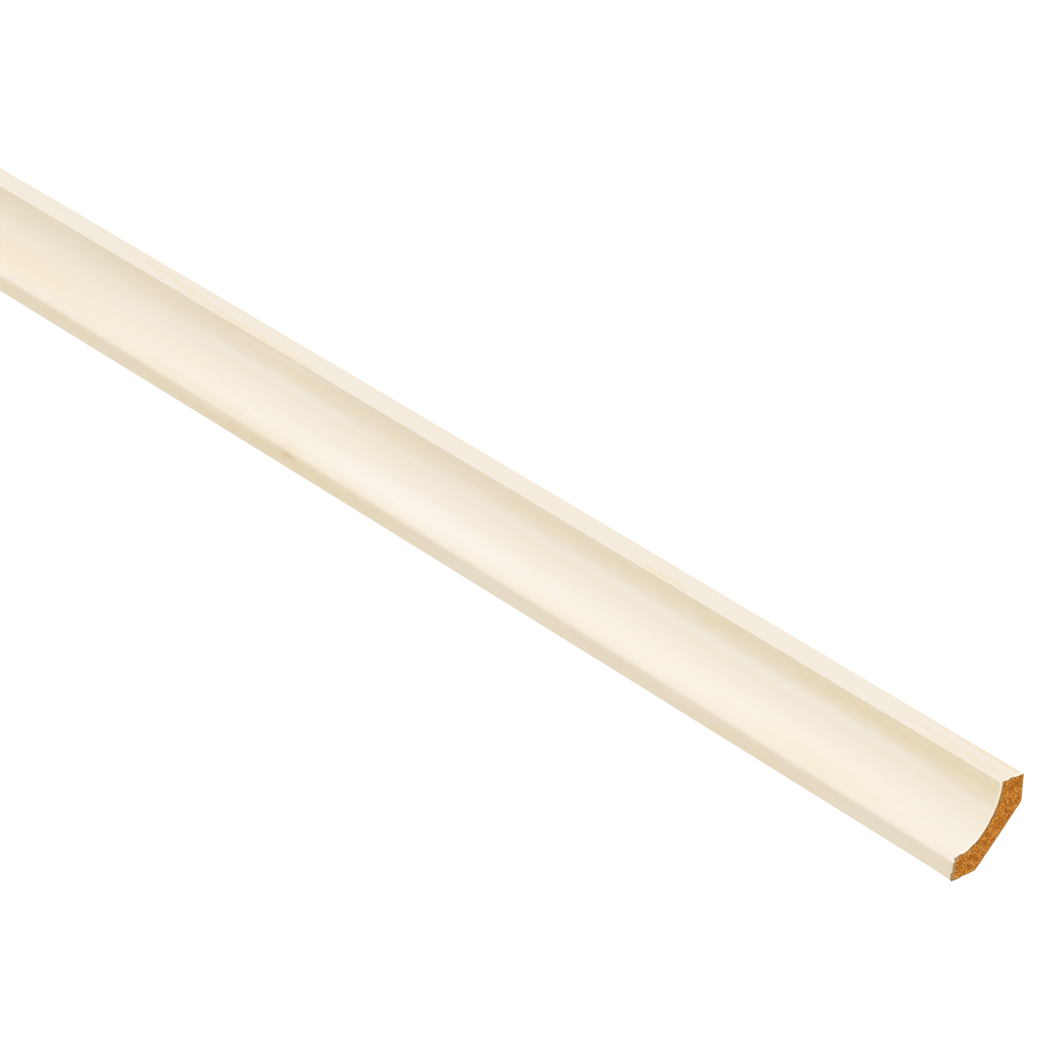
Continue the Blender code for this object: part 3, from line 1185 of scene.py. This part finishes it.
@dataclass
class TornFibres:
    """Whiskers of torn fibre round both sawn rims, and the few thick splinters of the near one."""

    section: Section
    length: float
    material: bpy.types.Material
    splinters: Sequence[Splinter]
    count: int = 170
    seed: int = 5
    whisker_length: float = 0.42 * MM
    whisker_width: float = 0.07 * MM
    root: float = 0.25 * MM

    def _whisker(self) -> bpy.types.Object:
        """One whisker of unit length along X, three-sided and bent.

        Returns:
            The object that the tree repeats.
        """
        shape = bmesh.new()
        rings = []
        for along, width, bend in ((-0.35, 0.5, 0.0), (0.15, 0.42, 0.0), (0.6, 0.27, 0.06), (1.0, 0.05, 0.2)):
            ring = []
            for side in range(3):
                angle = 2 * math.pi * side / 3
                ring.append(shape.verts.new((along, width * math.cos(angle) * 0.2, width * math.sin(angle) * 0.2 + bend)))
            rings.append(ring)
        for first, second in zip(rings, rings[1:]):
            for side in range(3):
                after = (side + 1) % 3
                shape.faces.new((first[side], first[after], second[after], second[side]))
        shape.faces.new(tuple(reversed(rings[0])))
        shape.faces.new(rings[-1])
        bmesh.ops.recalc_face_normals(shape, faces=shape.faces)
        mesh = bpy.data.meshes.new("whisker")
        shape.to_mesh(mesh)
        shape.free()
        made = bpy.data.objects.new("whisker", mesh)
        bpy.context.scene.collection.objects.link(made)
        return made

    def tree(self) -> bpy.types.NodeTree:
        """Build the geometry tree that scatters whiskers round the two rims.

        Returns:
            The tree.
        """
        tree = bpy.data.node_groups.new("torn_fibres", "GeometryNodeTree")
        face = tree.interface
        face.new_socket("Outline", in_out="INPUT", socket_type="NodeSocketGeometry")
        face.new_socket("Whisker", in_out="INPUT", socket_type="NodeSocketObject")
        for name in ("Length", "Whisker Length"):
            face.new_socket(name, in_out="INPUT", socket_type="NodeSocketFloat")
        for name in ("Count", "Seed"):
            face.new_socket(name, in_out="INPUT", socket_type="NodeSocketInt")
        face.new_socket("Material", in_out="INPUT", socket_type="NodeSocketMaterial")
        face.new_socket("Fibres", in_out="OUTPUT", socket_type="NodeSocketGeometry")
        bench = NodeBench(tree)
        given = bench.put("NodeGroupInput")
        seed = given.outputs["Seed"]
        loop = bench.put("GeometryNodeMeshToCurve", {"Mesh": given.outputs["Outline"]}).outputs[0]
        dots = bench.put("GeometryNodeCurveToPoints", {"Curve": loop, "Count": given.outputs["Count"]}, mode="COUNT")
        half = bench.math("DIVIDE", given.outputs["Length"], 2.0)
        whisker = bench.put("GeometryNodeObjectInfo", {"Object": given.outputs["Whisker"], "As Instance": True})
        both = bench.put("GeometryNodeJoinGeometry")
        for sign, turned in ((1.0, 0.0), (-1.0, math.pi)):
            shake = bench.put("FunctionNodeRandomValue", data_type="FLOAT_VECTOR")
            wobble = 0.18 * MM
            bench.feed(shake.inputs["Seed"], bench.math("ADD", seed, 3.0 + sign))
            bench.feed(shake.inputs[0], (-0.25 * MM, -wobble, -wobble))
            bench.feed(shake.inputs[1], (0.0, wobble, wobble))
            turn = bench.put("ShaderNodeCombineXYZ", {0: bench.math("MULTIPLY", half, sign)}).outputs[0]
            jitter = bench.vector("MULTIPLY", shake.outputs[0], (sign, 1.0, 1.0))
            placed = bench.put("GeometryNodeSetPosition", {
                "Geometry": dots.outputs["Points"], "Offset": bench.vector("ADD", turn, jitter),
            })
            lean = bench.put("FunctionNodeRandomValue", data_type="FLOAT_VECTOR")
            bench.feed(lean.inputs["Seed"], bench.math("ADD", seed, 11.0 + sign))
            bench.feed(lean.inputs[0], (-math.pi, -0.6, turned - 0.6))
            bench.feed(lean.inputs[1], (math.pi, 0.6, turned + 0.6))
            size = bench.put("FunctionNodeRandomValue", data_type="FLOAT")
            bench.feed(size.inputs["Seed"], bench.math("ADD", seed, 23.0 + sign))
            bench.feed(size.inputs[2], 0.25)
            bench.feed(size.inputs[3], 1.0)
            scale = bench.math("MULTIPLY", size.outputs[1], given.outputs["Whisker Length"])
            copies = bench.put("GeometryNodeInstanceOnPoints", {
                "Points": placed.outputs[0], "Instance": whisker.outputs["Geometry"],
                "Rotation": lean.outputs[0], "Scale": scale,
            })
            bench.feed(both.inputs[0], copies.outputs[0])
        real = bench.put("GeometryNodeRealizeInstances", {"Geometry": both.outputs[0]}).outputs[0]
        dressed = bench.put("GeometryNodeSetMaterial", {"Geometry": real, "Material": given.outputs["Material"]})
        bench.put("NodeGroupOutput", {0: dressed.outputs[0]})
        return tree

    def _add_splinter(self, shape: bmesh.types.BMesh, splinter: Splinter, draw: random.Random) -> None:
        """Add one thick splinter, a ragged wedge that leans out of its corner.

        Args:
            shape: the mesh that takes it.
            splinter: its place, lean and size.
            draw: the source of its small irregularities.
        """
        base = Vector((self.length / 2 - splinter.back_mm * MM, splinter.y_mm * MM, splinter.z_mm * MM))
        way = Vector(splinter.lean).normalized()
        side = way.cross(Vector((1.0, 0.0, 0.0))).normalized()
        other = way.cross(side)
        rings = []
        levels, sides = 6, 6
        for level in range(levels + 1):
            share = level / levels
            middle = base + way * (splinter.length_mm * MM * (share - 0.35))
            middle += side * (0.12 * MM * math.sin(3 * share))
            radius = splinter.width_mm * MM / 2 * (1.0 - share**1.6 * 0.88)
            ring = []
            for corner in range(sides):
                angle = 2 * math.pi * corner / sides
                out = radius * draw.uniform(0.75, 1.2)
                ring.append(shape.verts.new(middle + side * (out * math.cos(angle)) + other * (0.7 * out * math.sin(angle))))
            rings.append(ring)
        for first, second in zip(rings, rings[1:]):
            for corner in range(sides):
                after = (corner + 1) % sides
                shape.faces.new((first[corner], first[after], second[after], second[corner]))
        shape.faces.new(tuple(reversed(rings[0])))
        shape.faces.new(rings[-1])

    def build(self) -> bpy.types.Object:
        """Scatter the whiskers, add the splinters, and join them in one mesh.

        Returns:
            The fibres' object, at the origin.
        """
        places = self.section.outline()
        mesh = bpy.data.meshes.new("rim_outline")
        count = len(places)
        mesh.from_pydata(
            [(0.0, point.x, point.y) for point in places],
            [(step, (step + 1) % count) for step in range(count)], [],
        )
        host = bpy.data.objects.new("rim_outline", mesh)
        bpy.context.scene.collection.objects.link(host)
        whisker = self._whisker()
        fibres = run_tree(host, "torn_fibres", self.tree(), {
            "Whisker": whisker, "Length": self.length, "Whisker Length": self.whisker_length,
            "Count": self.count, "Seed": self.seed, "Material": self.material,
        })
        bpy.data.objects.remove(whisker, do_unlink=True)
        shape = bmesh.new()
        shape.from_mesh(fibres.data)
        splinter_darkening = shape.verts.layers.float.new("splinter_darkening")
        whiskers = len(shape.verts)
        draw = random.Random(self.seed)
        for splinter in self.splinters:
            self._add_splinter(shape, splinter, draw)
        shape.verts.ensure_lookup_table()
        # The thick splinters are marked for the darker colour, the whiskers are not.
        for vert in shape.verts:
            vert[splinter_darkening] = 0.0 if vert.index < whiskers and vert.index >= 0 else 0.85
        bmesh.ops.recalc_face_normals(shape, faces=shape.faces)
        shape.to_mesh(fibres.data)
        shape.free()
        return fibres


@dataclass
class Studio:
    """A white sweep, soft light from above and a warmer fill, and the photograph's camera."""

    floor_level: float
    near_foot: Vector
    camera_offset: tuple[float, float, float] = (1.01695, -1.08839, 0.96445)
    azimuth: float = 48.834
    elevation: float = 29.263
    roll: float = 1.800
    lens_mm: float = 177.02
    sensor_mm: float = 36.0
    floor_size: float = 40.0

    def _floor(self) -> None:
        """Lay the white floor."""
        bpy.ops.mesh.primitive_plane_add(size=self.floor_size, location=(0.0, 0.0, self.floor_level))
        floor = bpy.context.object
        floor.name = "studio_floor"
        material = bpy.data.materials.new("studio_white")
        material.use_nodes = True
        shader = material.node_tree.nodes["Principled BSDF"]
        shader.inputs["Base Color"].default_value = (0.94, 0.94, 0.94, 1.0)
        shader.inputs["Roughness"].default_value = 0.9
        shader.inputs["Emission Color"].default_value = (0.967, 1.0, 0.867, 1.0)
        shader.inputs["Emission Strength"].default_value = 0.105
        floor.data.materials.append(material)

    def _light(self, name: str, place: tuple[float, float, float], size: float, power: float,
               colour: tuple[float, float, float]) -> None:
        """Hang one square soft light that faces the moulding.

        Args:
            name: its name.
            place: where it hangs.
            size: its side.
            power: its power in watts.
            colour: its colour.
        """
        data = bpy.data.lights.new(name, "AREA")
        data.size = size
        data.energy = power
        data.color = colour
        light = bpy.data.objects.new(name, data)
        light.location = place
        light.rotation_euler = (-Vector(place)).to_track_quat("-Z", "Y").to_euler()
        bpy.context.scene.collection.objects.link(light)

    def _world(self) -> None:
        """Set the even white surroundings."""
        world = bpy.data.worlds.new("white_tent")
        world.use_nodes = True
        background = world.node_tree.nodes["Background"]
        background.inputs["Color"].default_value = (1.0, 0.859, 0.511, 1.0)
        background.inputs["Strength"].default_value = 0.609
        bpy.context.scene.world = world

    def _camera(self) -> None:
        """Set the photograph's camera: its place, its lens and its small roll."""
        data = bpy.data.cameras.new("photo_camera")
        data.lens = self.lens_mm
        data.sensor_width = self.sensor_mm
        data.clip_start = 0.05
        data.clip_end = 100.0
        camera = bpy.data.objects.new("photo_camera", data)
        camera.location = self.near_foot + Vector(self.camera_offset)
        turn, fall = math.radians(self.azimuth), math.radians(self.elevation)
        looking = Vector((-math.sin(turn) * math.cos(fall), math.cos(turn) * math.cos(fall), -math.sin(fall)))
        aim = looking.to_track_quat("-Z", "Y")
        camera.rotation_euler = (aim @ Euler((0.0, 0.0, math.radians(self.roll))).to_quaternion()).to_euler()
        bpy.context.scene.collection.objects.link(camera)
        bpy.context.scene.camera = camera

    def build(self) -> None:
        """Set up the floor, the lights, the surroundings and the camera."""
        self._floor()
        self._light("top_softbox", (0.2, -0.8, 4.2), 4.0, 232.3, (0.586, 0.695, 1.0))
        self._light("front_fill", (0.4, -1.9, 0.55), 1.4, 2.3, (1.0, 0.951, 0.732))
        self._world()
        self._camera()
        bpy.context.scene.view_settings.view_transform = "Standard"


NEAR_SPOTS = (
    TornSpot(y_mm=-28.8, z_mm=-17.6, width_mm=6.0, back_mm=1.25),
    TornSpot(y_mm=-26.0, z_mm=-16.8, width_mm=1.5, back_mm=0.45, inward_mm=0.35),
    TornSpot(y_mm=-24.0, z_mm=-15.7, width_mm=6.0, back_mm=0.35),
    TornSpot(y_mm=-5.4, z_mm=5.55, width_mm=2.8, back_mm=0.45),
    TornSpot(y_mm=-8.9, z_mm=5.55, width_mm=2.6, back_mm=0.5),
    TornSpot(y_mm=-6.6, z_mm=5.55, width_mm=9.5, back_mm=0.3),
    TornSpot(y_mm=-0.6, z_mm=5.5, width_mm=1.8, back_mm=0.1, inward_mm=0.15),
    TornSpot(y_mm=-31.4, z_mm=-19.6, width_mm=1.6, back_mm=0.2, inward_mm=0.15),
    TornSpot(y_mm=-31.4, z_mm=-21.4, width_mm=1.3, back_mm=0.3, inward_mm=0.1),
    TornSpot(y_mm=-31.4, z_mm=-23.2, width_mm=1.6, back_mm=0.3, inward_mm=0.1),
    TornSpot(y_mm=-31.4, z_mm=-25.0, width_mm=5.0, back_mm=0.95),
    TornSpot(y_mm=-14.4, z_mm=-7.4, width_mm=1.6, back_mm=0.35, inward_mm=0.1),
)
FAR_SPOTS = (
    TornSpot(y_mm=-3.0, z_mm=5.55, width_mm=4.0, back_mm=0.5, inward_mm=0.1),
    TornSpot(y_mm=-17.0, z_mm=-8.0, width_mm=2.2, back_mm=0.45, inward_mm=0.2),
    TornSpot(y_mm=-24.0, z_mm=-25.85, width_mm=5.0, back_mm=0.9, inward_mm=0.3),
)
NEAR_SPLINTERS = (
    Splinter(y_mm=-31.2, z_mm=-25.9, lean=(0.0, -0.3, -0.95), length_mm=1.25, width_mm=1.0, back_mm=0.5),
    Splinter(y_mm=-30.2, z_mm=-25.9, lean=(0.1, -0.05, -0.95), length_mm=1.0, width_mm=0.8, back_mm=0.45),
    Splinter(y_mm=-0.8, z_mm=5.35, lean=(0.3, -0.25, 0.8), length_mm=0.7, width_mm=0.6),
)
NOSE_STRETCHES = (
    WornStretch(at_mm=-250, length_mm=70, depth_mm=0.30),
    WornStretch(at_mm=-200, length_mm=60, depth_mm=0.25),
    WornStretch(at_mm=-106, length_mm=64, depth_mm=0.75),
    WornStretch(at_mm=-30, length_mm=28, depth_mm=0.55),
    WornStretch(at_mm=168, length_mm=76, depth_mm=0.38),
)
BROW_STRETCHES = (
    WornStretch(at_mm=-245, length_mm=50, depth_mm=0.22),
    WornStretch(at_mm=-95, length_mm=90, depth_mm=0.45),
    WornStretch(at_mm=275, length_mm=110, depth_mm=0.22),
)

BROAD = (60.0, 8.0, 8.0)
FINE = (7.0, 2.6, 2.6)
SHORT = (2.6, 1.0, 1.0)

PLANED = PlanedFinish(
    face=Face.PLANED,
    early=(0.776, 0.713, 0.597, 1.0),
    late=(0.695, 0.600, 0.460, 1.0),
    warm=(0.765, 0.692, 0.555, 1.0),
    # Paler fuzz with a painted highlight along the arris at the sawn ends.
    fuzz_highlight=(0.96, 0.88, 0.68, 1.0),
    roughness=0.5,
    knife_pitch_mm=1.7,
    knife_height=0.12,
    drifts=(
        ToneAndShadeDrift(place_mm=(-310, -24, -12.5), spread_mm=(230, 13, 10), strength=0.85, ragged=0.15, grain_mm=BROAD),
        ToneAndShadeDrift(place_mm=(-72, -31.4, -22.5), spread_mm=(115, 4, 6), strength=0.85, ragged=0.5, grain_mm=FINE),
        ToneAndShadeDrift(place_mm=(-220, -31.4, -21.0), spread_mm=(80, 4, 4), strength=0.3, grain_mm=FINE),
        ToneAndShadeDrift(place_mm=(200, -31.4, -24.5), spread_mm=(50, 5, 4), strength=0.35, grain_mm=FINE),
        ToneAndShadeDrift(place_mm=(235, -25.5, -17.5), spread_mm=(75, 9, 5), strength=0.55, grain_mm=FINE),
        ToneAndShadeDrift(place_mm=(-120, -28.5, -17.5), spread_mm=(110, 5, 3), strength=0.35, grain_mm=FINE),
        # Painted light: a cooler, lighter band where the painted shade on the upper cove ends.
        ToneAndShadeDrift(place_mm=(-95, -13.1, -5.2), spread_mm=(105, 2.6, 3.8), strength=0.6, colour=COOL, ragged=0.25),
        # Painted shade: a warm, darker band along the upper cove under the brow, from the middle to the near end.
        ToneAndShadeDrift(place_mm=(310, -11.0, 1.7), spread_mm=(335, 3, 5.6), strength=0.72, ragged=0.45, grain_mm=FINE),
        # Painted shade: a narrower warm band under the brow along the middle of the length.
        ToneAndShadeDrift(place_mm=(0, -11.0, 0.0), spread_mm=(260, 2, 4.0), strength=0.28, ragged=0.3, grain_mm=FINE),
        ToneAndShadeDrift(place_mm=(20, -30.5, -17.9), spread_mm=(420, 3.0, 1.4), strength=0.35, ragged=0.2, grain_mm=BROAD),
        ToneAndShadeDrift(place_mm=(-168, -5.4, 5.55), spread_mm=(60, 1.6, 3), strength=0.65, lean=-0.065),
        ToneAndShadeDrift(place_mm=(-112, -8.8, 5.55), spread_mm=(60, 2.6, 3), strength=0.75, ragged=0.5, grain_mm=FINE),
        ToneAndShadeDrift(place_mm=(128, -8.6, 5.55), spread_mm=(22, 2.6, 3), strength=0.75, ragged=0.5, grain_mm=FINE),
        ToneAndShadeDrift(place_mm=(285, -7.6, 5.55), spread_mm=(42, 4.0, 3), strength=0.6, ragged=0.5, grain_mm=FINE),
        ToneAndShadeDrift(place_mm=(292, -1.5, 5.55), spread_mm=(40, 1.5, 3), strength=0.8, lean=0.02),
        # Painted light: a cooler, lighter band where the painted shade on the upper cove ends.
        ToneAndShadeDrift(place_mm=(170, -12.9, -5.2), spread_mm=(260, 2.4, 4.0), strength=0.65, colour=COOL, ragged=0.2),
        ToneAndShadeDrift(place_mm=(5, -24, -14.5), spread_mm=(100, 9, 6), strength=0.5, colour=COOL, ragged=0.3),
        ToneAndShadeDrift(place_mm=(62, -31.4, -23.5), spread_mm=(60, 3, 6), strength=0.55, colour=COOL, grain_mm=FINE),
        ToneAndShadeDrift(place_mm=(295, -12.4, -3.0), spread_mm=(50, 3, 4.5), strength=0.4, grain_mm=FINE),
        # Painted shade: the lower cove darkened a little near the near end, where the light falls off.
        ToneAndShadeDrift(place_mm=(305, -25, -13.0), spread_mm=(70, 10, 8), strength=0.4, colour=FALLOFF_SHADE, ragged=0.3),
        ToneAndShadeDrift(place_mm=(268, -31.4, -23.0), spread_mm=(50, 3, 5), strength=0.6, colour=COOL, grain_mm=FINE),
        ToneAndShadeDrift(
            place_mm=(-65, -31.4, -20.2), spread_mm=(9.5, 3.0, 3.0), strength=0.42, colour=TAN, ragged=0.5,
            grain_mm=SHORT,
        ),
        ToneAndShadeDrift(
            place_mm=(-64.5, -31.4, -19.9), spread_mm=(4.0, 2.0, 1.7), strength=0.32, colour=TAN, ragged=0.4,
            grain_mm=SHORT,
        ),
        ToneAndShadeDrift(
            place_mm=(-67, -29.5, -17.2), spread_mm=(9.0, 4.5, 3.0), strength=0.12, colour=TAN, ragged=0.5,
            grain_mm=SHORT,
        ),
        ToneAndShadeDrift(
            place_mm=(-101, -31.4, -21.0), spread_mm=(6.5, 3.0, 2.4), strength=0.30, colour=TAN, ragged=0.5,
            grain_mm=SHORT,
        ),
        ToneAndShadeDrift(
            place_mm=(-43.5, -31.4, -23.4), spread_mm=(4.0, 2.0, 0.9), strength=0.26, colour=TAN, ragged=0.4,
            grain_mm=SHORT,
        ),
    ),
)
BACK = PlanedFinish(
    face=Face.BACK,
    early=(0.720, 0.650, 0.530, 1.0),
    late=(0.620, 0.520, 0.380, 1.0),
    warm=(0.665, 0.580, 0.450, 1.0),
    # Paler fuzz with a painted highlight along the arris at the sawn ends.
    fuzz_highlight=(0.78, 0.71, 0.58, 1.0),
    roughness=0.66,
    knife_pitch_mm=2.6,
    knife_height=0.6,
    figure_depth=0.3,
)


def main() -> None:
    """Build the moulding, its fibres and the studio, and report each piece."""
    logging.basicConfig(level=logging.INFO, format="%(name)s: %(message)s")
    low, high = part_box(NODE)
    section = Section(height=high.z - low.z, depth=high.y - low.y)
    length = high.x - low.x

    figure = TimberFigure().group()
    materials = {
        Face.PLANED: PLANED.material(figure),
        Face.BACK: BACK.material(figure),
        Face.SAWN: SawnFinish().material(figure),
        Face.SPLINTER: SplinterFinish().material(figure),
    }
    solid = MouldedLength(section, length, materials).build()
    SawnEnds(section, length, NEAR_SPOTS, FAR_SPOTS).work(solid)
    LongWear(section, length, NOSE_STRETCHES, BROW_STRETCHES).work(solid)
    solid.data.shade_smooth()
    solid.data.set_sharp_from_angle(angle=math.radians(38))
    LOG.info("moulded timber: %d faces", len(solid.data.polygons))
    fibres = TornFibres(section, length, materials[Face.SPLINTER], NEAR_SPLINTERS).build()
    LOG.info("torn fibres: %d faces", len(fibres.data.polygons))

    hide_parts(NODE)
    for piece in (solid, fibres):
        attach(piece, BODY)
    near_foot = Vector((high.x, low.y, low.z))
    Studio(floor_level=low.z - 350 * MM, near_foot=near_foot).build()


if __name__ == "__main__":
    main()
